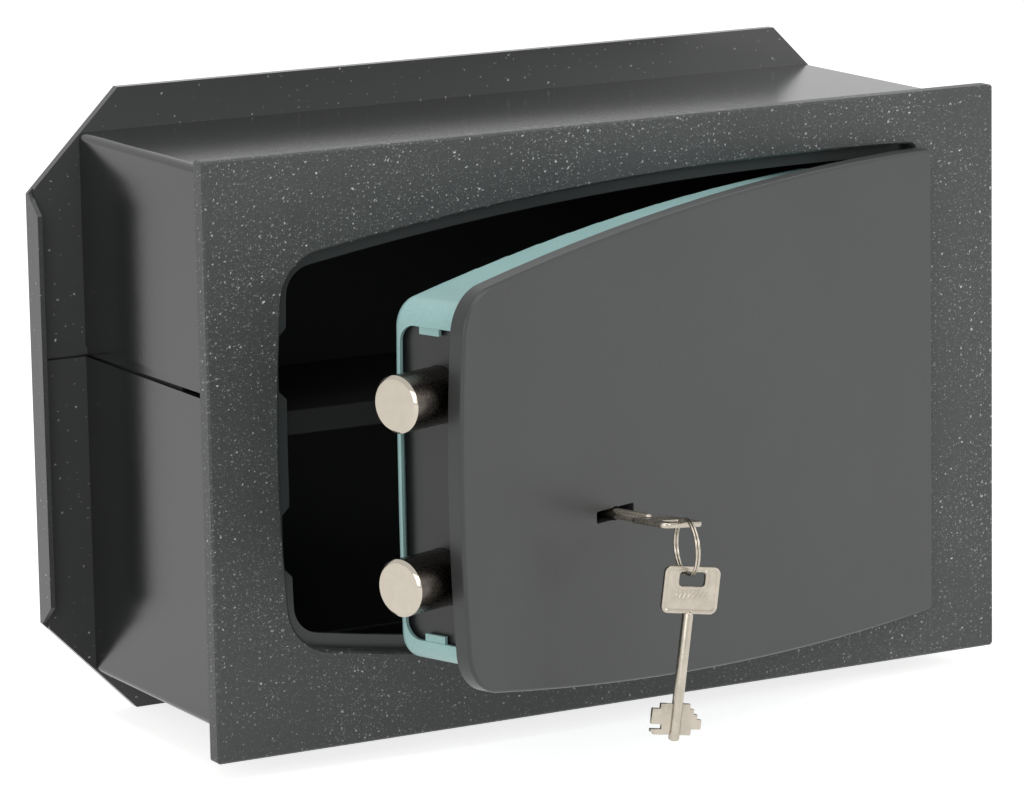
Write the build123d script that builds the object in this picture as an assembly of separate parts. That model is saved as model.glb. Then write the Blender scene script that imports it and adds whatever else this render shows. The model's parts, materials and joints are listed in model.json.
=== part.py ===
from build123d import *
import math
import os

# Wall safe for a home: a steel front frame with an inset door that stands ajar on hidden gooseneck hinges,
# a folded sheet body with flanges that key into the masonry, two round bolts worked by a double-bitted key,
# and a spare key on a ring. Millimetres. X runs to the right, Y into the wall and Z up.
# The origin is the middle of the back plate's rear face, so the front face is at minus the overall depth.

# Front frame
frame_width = 360.0
frame_height = 236.0
frame_thickness = 7.0
frame_edge_round = 0.8
frame_corner_radius = 1.5
overall_depth = 133.0

# Door opening in the frame: an arch that is lower on the bolt side, the same above and below
opening_left_margin = 31.0
opening_right_margin = 38.0
opening_left_height = 151.5
opening_right_height = 193.8
opening_rise = 7.7
opening_side_bow = 1.3
opening_side_radius = 720.0
opening_corner_radius = 20.0
opening_hinge_corner_radius = 3.0

# Stop plate that the door closes against, behind the frame
stop_thickness = 2.0
stop_left_inset = 7.2
stop_right_inset = 5.0
stop_arc_inset = 5.6
stop_side_radius = 2200.0
stop_corner_radius = 12.0
stop_hinge_corner_radius = 3.0
stop_wall_gap = 0.5
bolt_notch_depth = 4.5
bolt_notch_height = 30.0

# Body of two folded half shells, with flanges for the masonry
sheet = 2.0
body_side_inset = 8.0
body_top_inset = 5.0
body_bottom_inset = 9.0
body_bend_radius = 3.0
seam_height = 22.0
seam_slit_front = 2.0
seam_slit_middle = 1.3
seam_slit_back = 0.9
seam_slit_middle_from_back = 60.0
seam_recess = 0.7
seam_recess_back = 3.2
seam_recess_middle = 4.0
seam_recess_middle_from_back = 51.0
seam_recess_from_front = 11.0
top_flange = 17.0
side_flange = 20.0
corner_cut = 40.0
lip_depth = 9.0
lip_gap = 0.2
lip_end_cut = 8.0

# Shelf and the rails that carry it and tie the half shells together
rail_sheet = 1.5
rail_height = 68.0
rail_middle = 8.0
rail_ledge = 12.0
rail_from_front = 44.0
rail_to_back = 1.0
shelf_sheet = 1.5
shelf_height = 7.0
shelf_from_front = 42.5
shelf_lip = 9.5
shelf_side_gap = 0.5

# Door plate
door_thickness = 7.0
door_edge_round = 1.3
door_gap = 1.4
door_top_gap = 1.5
door_bottom_gap = 0.5
door_hinge_gap = 4.0
door_stop_gap = 0.3
door_hinge_corner_radius = 2.0
door_open_angle = 19.35

# Hinges behind the frame, two goosenecks on fixed pins
hinge_from_edge = 16.0
hinge_depth = 15.5
hinge_from_corner = 26.9
hinge_arm_thickness = 6.0
hinge_arm_width = 8.0
hinge_knuckle_radius = 5.0
hinge_sweep_gap = 0.8
pin_diameter = 6.0
pin_head = 7.6
pin_running_gap = 0.05
ear_thickness = 4.0
ear_gap = 0.4
ear_base_thickness = 2.5
ear_base_left = 20.0
ear_base_overhang = 10.0
ear_bridge_width = 11.0
hinge_foot_width = 27.0
hinge_foot_height = 30.0
hinge_foot_thickness = 4.0
hinge_foot_from_pin = 28.6

# Casing box on the back of the door
casing_sheet = 1.5
casing_depth = 34.4
casing_side_radius = 2200.0
casing_inset = 7.5
casing_edge_round = 3.5
casing_corner_radius = 1.0
casing_right_margin = 77.0
cutout_height = 121.0
cutout_reach = 30.7
cutout_corner = 7.0
cutout_tab_width = 9.9
cutout_tab_height = 2.9
cutout_tab_from_door = 11.4
stud_diameter = 9.0
stud_inset = 20.0
bolt_side_stud_inset = 30.0
stud_height = 60.0
stud_thread = 10.0
casing_screw_diameter = 4.0
casing_screw_head = 8.0
casing_screw_head_height = 2.2
casing_screw_length = 8.0
casing_screw_gap = 0.2
screw_socket = 2.2

# Bolts and their guide
bolt_diameter = 22.0
bolt_spacing = 70.0
bolt_length = 52.5
bolt_edge_round = 0.8
bolt_depth = 13.7
bolt_thrown = 22.5
bolt_guide_gap = 0.1
guide_sheet = 2.5
guide_setback = 2.4
guide_height = 122.0
guide_length = 21.5
guide_base = 1.5
guide_back_gap = 1.0
guide_side_gap = 0.4
bar_thickness = 4.0
bar_height = 92.0
bar_depth = 24.0
bar_screw_diameter = 6.0
bar_screw_head = 11.0
bar_screw_head_height = 2.5
bar_screw_reach = 10.0
bar_screw_gap = 0.05
bolt_hole_depth = 12.0

# Key and keyhole; the lock axis is measured from the frame's left edge and middle
lock_from_left = 118.0
lock_height = -21.0
key_length = 68.3
key_stick_out = 35.1
key_rest_turn = 8.0
bow_width = 23.1
bow_height = 18.5
bow_thickness = 2.0
bow_corner_radius = 3.0
bow_slot_width = 10.4
bow_slot_height = 5.4
bow_slot_from_end = 2.3
bow_slot_radius = 1.2
key_shank = 4.3
bit_width = 20.6
bit_length = 12.2
bit_thickness = 1.8
bit_from_tip = 2.5
bit_groove = 0.6
keyhole_gap = 0.6
keyhole_slot = 4.8
keyhole_centre = 5.6

# Lock case, levers, key drum and rack
lock_setback = 7.0
lock_wall = 1.5
lock_half_width = 18.0
lock_below = 18.0
lock_above = 26.0
lock_cover = 1.4
lock_post_diameter = 6.0
lever_count = 6
lever_thickness = 1.4
lever_pitch = 1.9
lever_first = 0.8
lever_lift = 1.5
lever_window_gap = 0.4
lever_rim = 2.3
lever_slot_width = 3.3
lever_guide_pin = 2.6
lever_guide_spread = 16.0
lever_guide_height = 15.5
lever_head = 2.9
lever_guide_gap = 0.35
spring_sheet = 0.5
spring_rest_gap = 0.1
spring_width = 10.0
drum_radius = 13.0
drum_thickness = 3.2
drum_pocket_gap = 0.25
drum_pocket_depth = 2.6
partition_thickness = 1.5
partition_setback = 0.8
journal_diameter = 8.0
journal_running_gap = 0.05
gear_module = 1.0
gear_teeth = 14
gear_width = 3.2
gear_pressure_angle = 20.0
gear_backlash = 0.3
rack_addendum = 0.8
rack_width = 2.6
rack_back = 6.0
rack_clearance = 0.3
key_turn_travel = 180.0

# Split ring and spare key
ring_outer = 22.4
ring_wire = 1.0
ring_pitch = 1.5
ring_skew = 28.5
ring_rest_gap = 0.25
ring_side = -0.4
ring_forward = 2.0
spare_rest_gap = 0.45
spare_side = 2.2
spare_tilt = 7.5

# Places worked out from the sizes above
front = -overall_depth
frame_back = front + frame_thickness
stop_back = frame_back + stop_thickness
half_width = frame_width / 2
half_height = frame_height / 2
body_half_width = half_width - body_side_inset
body_top = half_height - body_top_inset
body_bottom = -half_height + body_bottom_inset
flange_front = -2 * sheet
back_half_width = body_half_width + side_flange + lip_gap + sheet
back_top = body_top + top_flange
back_bottom = body_bottom - top_flange
opening_left = -half_width + opening_left_margin
opening_right = half_width - opening_right_margin
hinge_x = half_width - hinge_from_edge
hinge_height = opening_right_height / 2 - hinge_from_corner
hinge_y = front + hinge_depth
door_back = frame_back - door_stop_gap
door_front = door_back - door_thickness
door_right = opening_right - door_hinge_gap
casing_back = door_back + casing_depth
casing_left = opening_left + door_gap + casing_inset
casing_right = half_width - casing_right_margin
bolt_y = door_back + bolt_depth
bolt_tip = casing_left - bolt_thrown
bolt_end = bolt_tip + bolt_length
bolt_heights = (bolt_spacing / 2, -bolt_spacing / 2)
lock_x = -half_width + lock_from_left
key_tip = door_front - key_stick_out + key_length
lock_front = door_back + lock_setback
drum_front = key_tip - bit_from_tip - drum_pocket_depth
gear_front = drum_front + drum_thickness
cover_front = gear_front + gear_width + rack_clearance
lock_back = cover_front + lock_cover
gear_radius = gear_module * gear_teeth / 2
bolt_travel = gear_radius * math.radians(key_turn_travel)


def slab(face, start, thickness):
    """A face drawn in X and Z, made solid from Y = start towards the back."""
    plane = Plane(origin=(0, start, 0), x_dir=(1, 0, 0), z_dir=(0, -1, 0))
    return extrude(plane * face, amount=-thickness)


def block(x0, x1, y0, y1, z0, z1):
    """A box between two corners."""
    size = Box(x1 - x0, y1 - y0, z1 - z0)
    return Pos((x0 + x1) / 2, (y0 + y1) / 2, (z0 + z1) / 2) * size


def rod_y(x, z, diameter, y0, y1):
    """A round bar along Y."""
    bar = Rot(90, 0, 0) * Cylinder(diameter / 2, y1 - y0)
    return Pos(x, (y0 + y1) / 2, z) * bar


def rod_x(y, z, diameter, x0, x1):
    """A round bar along X."""
    bar = Rot(0, 90, 0) * Cylinder(diameter / 2, x1 - x0)
    return Pos((x0 + x1) / 2, y, z) * bar


def rod_z(x, y, diameter, z0, z1):
    """A round bar along Z."""
    return Pos(x, y, (z0 + z1) / 2) * Cylinder(diameter / 2, z1 - z0)


def arc_circle(start, crown_side, end, rise):
    """Centre and radius of the arc over a chord, bulging to the given side by its rise."""
    chord = end - start
    half = chord.length / 2
    radius = (half**2 + rise**2) / (2 * rise)
    normal = Vector(-chord.Y, chord.X).normalized() * crown_side
    return (start + end) * 0.5 - normal * (radius - rise), radius


def arched_face(insets, side_radius, right, left_radius, right_radius):
    """The opening's outline drawn in by its left, top and bottom insets: arcs above and below, and a bowed left side."""
    left_inset, top_inset, bottom_inset = insets
    top_left = Vector(opening_left, opening_left_height / 2)
    top_right = Vector(opening_right, opening_right_height / 2)
    crown, crown_radius = arc_circle(top_left, 1, top_right, opening_rise)
    side = opening_left - opening_side_bow + side_radius
    face = Pos(crown.X, crown.Y) * Circle(crown_radius - top_inset)
    face &= Pos(crown.X, -crown.Y) * Circle(crown_radius - bottom_inset)
    face &= Pos(side, 0) * Circle(side_radius - left_inset)
    face &= Pos(right - frame_width, 0) * Rectangle(2 * frame_width, 2 * frame_width)
    corners = face.vertices().sort_by(Axis.X)
    face = fillet(corners[:2], left_radius)
    corners = face.vertices().sort_by(Axis.X)
    return fillet(corners[-2:], right_radius)


def opening_face():
    corner = opening_corner_radius
    return arched_face((0, 0, 0), opening_side_radius, opening_right, corner, opening_hinge_corner_radius)


def door_face():
    """The opening less its running gaps, with the widest on the hinge side and the narrowest below."""
    radius = opening_corner_radius - door_gap
    gaps = (door_gap, door_top_gap, door_bottom_gap)
    return arched_face(gaps, opening_side_radius, door_right, radius, door_hinge_corner_radius)


def casing_face(inset):
    """The door's outline drawn in by the casing's inset, and cut off short on the hinge side."""
    total = door_gap + inset
    right = casing_right - (inset - casing_inset)
    radius = opening_corner_radius - total
    return arched_face((total, total, total), casing_side_radius, right, radius, casing_corner_radius)


def opened(shape):
    """A door part, modelled shut, turned to where the photographed door stands."""
    pivot = Axis((hinge_x, hinge_y, 0), (0, 0, 1))
    return shape.rotate(pivot, door_open_angle)


def front_frame():
    outline = RectangleRounded(frame_width, frame_height, frame_corner_radius)
    plate = slab(outline - opening_face(), front, frame_thickness)
    edges = plate.faces().sort_by(Axis.Y)[0].edges()
    return chamfer(edges, frame_edge_round)


def bolt_notch(height):
    """A shallow notch with sloping ends, where a drawn bolt passes the stop plate."""
    edge = opening_left + stop_left_inset
    half = bolt_notch_height / 2
    inner = half - bolt_notch_depth
    points = [
        (edge + 10, half),
        (edge, half),
        (edge - bolt_notch_depth, inner),
        (edge - bolt_notch_depth, -inner),
        (edge, -half),
        (edge + 10, -half),
    ]
    return Pos(0, height) * make_face(Polyline(*points, close=True))


def stop_plate():
    right = opening_right - stop_right_inset
    insets = (stop_left_inset, stop_arc_inset, stop_arc_inset)
    hole = arched_face(insets, stop_side_radius, right, stop_corner_radius, stop_hinge_corner_radius)
    for height in bolt_heights:
        hole += bolt_notch(height)
    wall = sheet + stop_wall_gap
    low = body_bottom + wall
    high = body_top - wall
    outline = Pos(0, (low + high) / 2) * Rectangle(2 * (body_half_width - wall), high - low)
    return slab(outline - hole, frame_back, stop_thickness)


def octagon(half_x, low, high, cut):
    """A plate outline with its four corners cut off at 45 degrees."""
    plate = Pos(0, (low + high) / 2) * Rectangle(2 * half_x, high - low)
    return chamfer(plate.vertices(), cut)


def body_tube():
    """The four walls and the rear flanges, before the seam parts them."""
    middle = (body_top + body_bottom) / 2
    height = body_top - body_bottom
    outer = Pos(0, middle) * RectangleRounded(2 * body_half_width, height, body_bend_radius)
    inner_radius = body_bend_radius - sheet
    inner = Pos(0, middle) * RectangleRounded(
        2 * (body_half_width - sheet), height - 2 * sheet, inner_radius
    )
    walls = slab(outer - inner, frame_back, -sheet - frame_back)
    flange_half = body_half_width + side_flange
    cut = corner_cut - (back_half_width - flange_half)
    flange = octagon(flange_half, back_bottom, back_top, cut) - inner
    return walls + slab(flange, flange_front, sheet)


def seam_cutter():
    """The slit between the half shells, which opens towards the front."""
    points = [
        (frame_back - 1, seam_height - 1),
        (frame_back - 1, seam_height + seam_slit_front),
        (-seam_slit_middle_from_back, seam_height + seam_slit_middle),
        (-sheet, seam_height + seam_slit_back),
        (-sheet, seam_height - 1),
    ]
    profile = Plane.YZ * make_face(Polyline(*points, close=True))
    return extrude(profile, amount=2 * frame_width, both=True)


def seam_recess_cutter(side):
    """The shallow step pressed into the upper shell's outer face above the slit."""
    points = [
        (frame_back + seam_recess_from_front, seam_height - 1),
        (frame_back + seam_recess_from_front, seam_height + seam_slit_front),
        (-seam_recess_middle_from_back, seam_height + seam_slit_middle + seam_recess_middle),
        (flange_front, seam_height + seam_slit_back + seam_recess_back),
        (flange_front, seam_height - 1),
    ]
    inner = side * (body_half_width - seam_recess)
    face = Plane.YZ * make_face(Polyline(*points, close=True))
    return Pos(inner if side > 0 else inner - 5, 0, 0) * extrude(face, amount=5)


def upper_shell():
    reach = frame_width
    above = block(-reach, reach, front - 1, 1, seam_height, reach)
    shell = (body_tube() & above) - seam_cutter()
    return shell - seam_recess_cutter(-1) - seam_recess_cutter(1)


def lower_shell():
    reach = frame_width
    return body_tube() & block(-reach, reach, front - 1, 1, -reach, seam_height)


def lip(side):
    """The back plate's side edge, folded forward over the side flange, with sloping ends."""
    outer = side * back_half_width
    inner = side * (back_half_width - sheet)
    length = back_top - back_bottom - 2 * corner_cut
    middle = (back_top + back_bottom) / 2
    half = length / 2
    points = [
        (-sheet, middle - half),
        (-sheet - lip_depth, middle - half + lip_end_cut),
        (-sheet - lip_depth, middle + half - lip_end_cut),
        (-sheet, middle + half),
    ]
    face = Plane.YZ * make_face(Polyline(*points, close=True))
    return Pos(min(outer, inner), 0, 0) * extrude(face, amount=sheet)


def back_plate():
    plate = slab(octagon(back_half_width, back_bottom, back_top, corner_cut), -sheet, sheet)
    return plate + lip(1) + lip(-1)


def shelf_rail(side):
    """A plate that ties the half shells together inside, with a ledge for the shelf."""
    wall = side * (body_half_width - sheet)
    face = wall - side * rail_sheet
    ledge = face - side * rail_ledge
    start = front + rail_from_front
    stop = flange_front + sheet - rail_to_back
    low = rail_middle - rail_height / 2
    plate = block(min(wall, face), max(wall, face), start, stop, low, low + rail_height)
    step = block(min(face, ledge), max(face, ledge), start, stop, shelf_height - rail_sheet, shelf_height)
    return plate + step


def shelf():
    half = body_half_width - sheet - rail_sheet - shelf_side_gap
    start = front + shelf_from_front
    top = shelf_height + shelf_sheet
    plate = block(-half, half, start, -sheet - 0.5, shelf_height, top)
    low = top - shelf_lip
    lip_half = half - rail_ledge - 0.5
    return plate + block(-lip_half, lip_half, start, start + shelf_sheet, low, top)


def hinge_bracket(height):
    """Two ears joined by a strip on the back of the stop plate, one above and one below the arm."""
    reach = hinge_arm_thickness / 2 + ear_gap
    right = hinge_x + hinge_knuckle_radius
    left = hinge_x - ear_base_left
    ear_back = hinge_y + hinge_knuckle_radius
    end = reach + ear_base_overhang
    base = block(left, right, stop_back, stop_back + ear_base_thickness, -end, end)
    gap_left = left + ear_bridge_width
    base -= block(gap_left, right + 1, stop_back - 1, ear_back, -reach, reach)
    for side in (1, -1):
        low = min(side * reach, side * (reach + ear_thickness))
        ear = block(hinge_x - hinge_knuckle_radius, right, stop_back, hinge_y, low, low + ear_thickness)
        ear += rod_z(hinge_x, hinge_y, 2 * hinge_knuckle_radius, low, low + ear_thickness)
        base += ear
    base -= rod_z(hinge_x, hinge_y, pin_diameter, -end - 1, end + 1)
    return Pos(0, 0, height) * base


def hinge_pin(height):
    """The pin through the bracket's ears, with a small head above."""
    reach = hinge_arm_thickness / 2 + ear_gap + ear_thickness
    pin = rod_z(hinge_x, hinge_y, pin_diameter, -reach, reach + 1)
    head = rod_z(hinge_x, hinge_y, pin_head, reach, reach + 2)
    return Pos(0, 0, height) * (pin + head)


def hinge_arm(height):
    """A gooseneck that reaches round the frame's edge, from a foot on the door to the pin behind the frame."""
    corner_x = opening_right - stop_right_inset - hinge_x
    corner_y = frame_back - hinge_y
    inner = math.hypot(corner_x, corner_y) + hinge_sweep_gap
    outer = inner + hinge_arm_width
    foot_end = door_back + hinge_foot_thickness - hinge_y
    reach = 3 * outer
    quarter = Pos(-reach / 2, (reach + foot_end) / 2) * Rectangle(reach, reach - foot_end)
    bend = (Circle(outer) - Circle(inner)) & quarter
    neck_right = hinge_knuckle_radius
    neck = Pos(neck_right - hinge_arm_width / 2, outer / 2) * Rectangle(hinge_arm_width, outer - 1.0)
    profile = bend + neck + Circle(hinge_knuckle_radius)
    profile -= Circle(pin_diameter / 2 + pin_running_gap)
    arm = extrude(profile, amount=hinge_arm_thickness / 2, both=True)
    arm = Pos(hinge_x, hinge_y, 0) * arm
    foot_right = hinge_x - hinge_foot_from_pin
    foot = block(
        foot_right - hinge_foot_width,
        foot_right,
        door_back,
        door_back + hinge_foot_thickness,
        -hinge_foot_height / 2,
        hinge_foot_height / 2,
    )
    return Pos(0, 0, height) * (arm + foot)


def butterfly(gap):
    """The keyhole: a level slot for the two bits, with a round middle for the shank."""
    slot = RectangleRounded(bit_width + 2 * gap, keyhole_slot, 1.0)
    return Pos(lock_x, lock_height) * (slot + Circle(keyhole_centre / 2))


def door_plate():
    plate = slab(door_face() - butterfly(keyhole_gap), door_front, door_thickness)
    rim = plate.faces().sort_by(Axis.Y)[0].outer_wire().edges()
    return fillet(rim, door_edge_round)


def casing():
    """A folded box over the bolt work, open towards the door plate, cut away on the bolt side."""
    shell = slab(casing_face(casing_inset), door_back, casing_depth)
    rim = shell.faces().sort_by(Axis.Y)[-1].edges()
    shell = fillet(rim, casing_edge_round)
    shell -= slab(casing_face(casing_inset + casing_sheet), door_back - 1, casing_depth - casing_sheet + 1)
    half = cutout_height / 2
    reach = casing_left + casing_edge_round + 1
    window = block(casing_left - 4, reach, door_back - 1, door_back + cutout_reach, -half, half)
    far_edges = window.edges().filter_by(Axis.X).sort_by(Axis.Y)[-2:]
    window = fillet(far_edges, cutout_corner)
    shell -= window
    for side in (1, -1):
        start = door_back + cutout_tab_from_door
        low = min(side * half, side * (half - cutout_tab_height))
        shell += block(
            casing_left, casing_left + casing_sheet, start, start + cutout_tab_width, low, low + cutout_tab_height
        )
    for x, z in stud_places():
        shell -= rod_y(x, z, casing_screw_diameter + 2 * casing_screw_gap, casing_back - 4, casing_back + 1)
    return shell


def stud_places():
    """The four standoffs that the casing is screwed to."""
    right = casing_right - stud_inset
    left = casing_left + bolt_side_stud_inset
    return [(x, z) for x in (left, right) for z in (stud_height, -stud_height)]


def casing_studs():
    """Standoffs on the back of the door plate, tapped for the casing screws."""
    solids = []
    stop = casing_back - casing_sheet
    for x, z in stud_places():
        stud = rod_y(x, z, stud_diameter, door_back, stop)
        solids.append(stud - rod_y(x, z, casing_screw_diameter, stop - stud_thread, stop + 1))
    return solids


def casing_screws():
    """Socket button screws through the casing's back into the standoffs."""
    solids = []
    tip = casing_back - casing_sheet - casing_screw_length
    for x, z in stud_places():
        shank = rod_y(x, z, casing_screw_diameter, tip, casing_back)
        head = rod_y(x, z, casing_screw_head, casing_back, casing_back + casing_screw_head_height)
        rim = head.faces().sort_by(Axis.Y)[-1].edges()
        head = fillet(rim, 1.2)
        head -= rod_y(x, z, screw_socket, casing_back + 0.8, casing_back + casing_screw_head_height + 1)
        solids.append(shank + head)
    return solids


def bolt_guide():
    """A channel on the door plate whose two webs carry the bolts."""
    left = casing_left + guide_setback
    right = left + guide_length
    stop = casing_back - casing_sheet - guide_back_gap
    half = guide_height / 2
    guide = block(left, right, door_back, door_back + guide_base, -half, half)
    for start in (left, right - guide_sheet):
        guide += block(start, start + guide_sheet, door_back, stop, -half, half)
    room = casing_face(casing_inset + casing_sheet + guide_side_gap)
    guide &= slab(room, door_back, casing_depth)
    for height in bolt_heights:
        guide -= rod_x(bolt_y, height, bolt_diameter + 2 * bolt_guide_gap, left - 1, right + 1)
    return guide


def bolt(height):
    """A round bolt with a softened outer edge and a tapped hole in its inner end."""
    bar = rod_x(bolt_y, height, bolt_diameter, bolt_tip, bolt_end)
    bar = fillet(bar.faces().sort_by(Axis.X)[0].edges(), bolt_edge_round)
    return bar - rod_x(bolt_y, height, bar_screw_diameter, bolt_end - bolt_hole_depth, bolt_end + 1)


def bar_screws():
    """Screws that hold the carrier bar on the ends of the bolts."""
    solids = []
    end = bolt_end + bar_thickness
    for height in bolt_heights:
        shank = rod_x(bolt_y, height, bar_screw_diameter, bolt_end - bar_screw_reach, end)
        head = rod_x(bolt_y, height, bar_screw_head, end, end + bar_screw_head_height)
        solids.append(shank + head)
    return solids


def rack_face():
    """Rack teeth with straight flanks along X, the tooth over the pinion centred on the lock axis."""
    pitch = math.pi * gear_module
    slope = math.tan(math.radians(gear_pressure_angle))
    line = lock_height + gear_radius
    tip = line - rack_addendum * gear_module
    root = line + gear_module
    half_pitch_width = pitch / 4 - gear_backlash / 2
    half_tip = half_pitch_width - rack_addendum * gear_module * slope
    half_root = half_pitch_width + gear_module * slope
    back = root + rack_back
    right = lock_x + 3 * pitch
    left = bolt_end
    teeth = math.ceil(bolt_travel / pitch) + 2
    face = Pos((left + right) / 2, (root + back) / 2) * Rectangle(right - left, back - root)
    for n in range(-teeth, 3):
        x = lock_x + n * pitch
        points = [
            (x - half_root, root + 0.05),
            (x - half_root, root),
            (x - half_tip, tip),
            (x + half_tip, tip),
            (x + half_root, root),
            (x + half_root, root + 0.05),
        ]
        face += make_face(Polyline(*points, close=True))
    return face


def bolt_bar():
    """The bar that joins the bolts, with the rack arm that the key drum drives."""
    end = bolt_end + bar_thickness
    rack_front = gear_front + (gear_width - rack_width) / 2
    rack_end = rack_front + rack_width
    bar = block(bolt_end, end, rack_end - bar_depth, rack_end, -bar_height / 2, bar_height / 2)
    bar += slab(rack_face(), rack_front, rack_width)
    for height in bolt_heights:
        bar -= rod_x(bolt_y, height, bar_screw_diameter + 2 * bar_screw_gap, bolt_end - 1, end + 1)
    return bar


def gear_face():
    """A pinion with involute flanks, worked out from its module, with a gap between teeth at the top."""
    base = gear_radius * math.cos(math.radians(gear_pressure_angle))
    tip = gear_radius + gear_module
    root = gear_radius - gear_module
    involute = math.tan(math.radians(gear_pressure_angle)) - math.radians(gear_pressure_angle)
    half_tooth = math.pi / (2 * gear_teeth) - gear_backlash / (4 * gear_radius)
    steps = 6
    flank = []
    for n in range(steps + 1):
        radius = base + (tip - base) * n / steps
        angle = math.acos(min(1.0, base / radius))
        flank.append((radius, half_tooth + involute - (math.tan(angle) - angle)))
    face = Circle(root)
    for n in range(gear_teeth):
        middle = math.pi / 2 + (n + 0.5) * 2 * math.pi / gear_teeth
        rising = [(root - 0.3, flank[0][1])] + flank
        points = [(r * math.cos(middle - a), r * math.sin(middle - a)) for r, a in rising]
        points += [(r * math.cos(middle + a), r * math.sin(middle + a)) for r, a in reversed(rising)]
        face += make_face(Polyline(*points, close=True))
    return Pos(lock_x, lock_height) * face


def bit_slot(width, thickness):
    """The slot across the drum, turned as the key stands."""
    return Pos(lock_x, lock_height) * (Rot(0, 0, -key_rest_turn) * Rectangle(width, thickness))


def key_drum():
    """A disc that the key's bits turn, with the pinion and its journal behind it."""
    disc = rod_y(lock_x, lock_height, 2 * drum_radius, drum_front, gear_front)
    drum = disc + slab(gear_face(), gear_front, gear_width)
    drum += rod_y(lock_x, lock_height, journal_diameter, gear_front + gear_width, lock_back)
    pocket = bit_slot(bit_width + 2 * drum_pocket_gap, bit_thickness + 2 * drum_pocket_gap)
    drum -= slab(pocket, drum_front - 1, 1 + drum_pocket_depth + drum_pocket_gap)
    tip_hole = rod_y(lock_x, lock_height, key_shank + 2 * drum_pocket_gap, drum_front - 1, key_tip + drum_pocket_gap)
    return drum - tip_hole


def lock_box():
    """Outer and inner limits of the lock case in X and Z."""
    low = lock_height - lock_below
    high = lock_height + lock_above
    return lock_x - lock_half_width, lock_x + lock_half_width, low, high


def lock_case():
    """A tray with the key's entry in its front, open towards the cover, with slots for the rack."""
    left, right, low, high = lock_box()
    case = block(left, right, lock_front, cover_front, low, high)
    case -= block(
        left + lock_wall, right - lock_wall, lock_front + lock_wall, cover_front + 1, low + lock_wall, high - lock_wall
    )
    case -= slab(butterfly(keyhole_gap), lock_front - 1, lock_wall + 2)
    rack_front = gear_front + (gear_width - rack_width) / 2
    line = lock_height + gear_radius
    low_slot = line - rack_addendum * gear_module - rack_clearance
    high_slot = line + gear_module + rack_back + rack_clearance
    case -= block(left - 1, right + 1, rack_front - rack_clearance, cover_front + 1, low_slot, high_slot)
    return case


def lock_cover_plate():
    left, right, low, high = lock_box()
    plate = block(left, right, cover_front, lock_back, low, high)
    hole = journal_diameter + 2 * journal_running_gap
    plate -= rod_y(lock_x, lock_height, hole, cover_front - 1, lock_back + 1)
    for x, z in cover_screw_places():
        plate -= rod_y(x, z, 3.2, cover_front - 1, lock_back + 1)
    return plate


def cover_screw_places():
    left, right, low, high = lock_box()
    return [(left + 4.0, low + 4.0), (right - 4.0, low + 4.0)]


def lock_posts():
    """Posts that hold the lock case off the door plate and take the cover screws."""
    solids = []
    left, right, low, high = lock_box()
    for x, z in ((left + 4.0, low + 4.0), (right - 4.0, low + 4.0), (left + 4.0, high - 4.0), (right - 4.0, high - 4.0)):
        solids.append(rod_y(x, z, lock_post_diameter, door_back, lock_front))
    return solids


def lock_partition():
    """The plate inside the lock that the drum turns in."""
    left, right, low, high = lock_box()
    start = drum_front + partition_setback
    stop = start + partition_thickness
    plate = block(left + lock_wall, right - lock_wall, start, stop, low + lock_wall, high - lock_wall)
    return plate - rod_y(lock_x, lock_height, 2 * (drum_radius + journal_running_gap), start - 1, stop + 1)


def lever_guides():
    """Two pins on the case's front that keep the levers upright."""
    solids = []
    for side in (1, -1):
        x = lock_x + side * lever_guide_spread / 2
        z = lock_height + lever_guide_height
        stop = drum_front + partition_setback
        solids.append(rod_y(x, z, lever_guide_pin, lock_front + lock_wall, stop))
    return solids


def lever_face():
    """One lever: a frame round the key's sweep, with upright slots for the two guide pins."""
    window = bit_width / 2 + lever_lift + lever_window_gap
    rim = window + lever_rim
    top = lever_guide_height + lever_head
    face = Circle(rim) + Pos(0, top / 2) * Rectangle(2 * rim * 0.86, top)
    face -= Circle(window)
    for side in (1, -1):
        slot = Rectangle(lever_slot_width, lever_guide_pin + 2 * lever_guide_gap + lever_lift)
        face -= Pos(side * lever_guide_spread / 2, lever_guide_height - lever_lift / 2) * slot
    return Pos(lock_x, lock_height) * face


def levers():
    """The pack of levers, one behind the other."""
    start = lock_front + lock_wall + lever_first
    return [slab(lever_face(), start + n * lever_pitch, lever_thickness) for n in range(lever_count)]


def lever_spring():
    """A bowed leaf between the roof of the case and the tops of the levers."""
    left, right, low, high = lock_box()
    roof = high - lock_wall
    seat = lock_height + lever_guide_height + lever_head + spring_rest_gap
    rise = roof - seat
    span = lever_guide_spread / 2
    radius = (span**2 + rise**2) / (2 * rise)
    bow = Circle(radius) - Circle(radius - spring_sheet)
    above = Pos(0, seat - roof + radius + rise / 2) * Rectangle(4 * radius, rise)
    leaf = Pos(lock_x, roof - radius) * (bow & above)
    return slab(leaf, lock_front + lock_wall + lever_first, spring_width)


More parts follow.
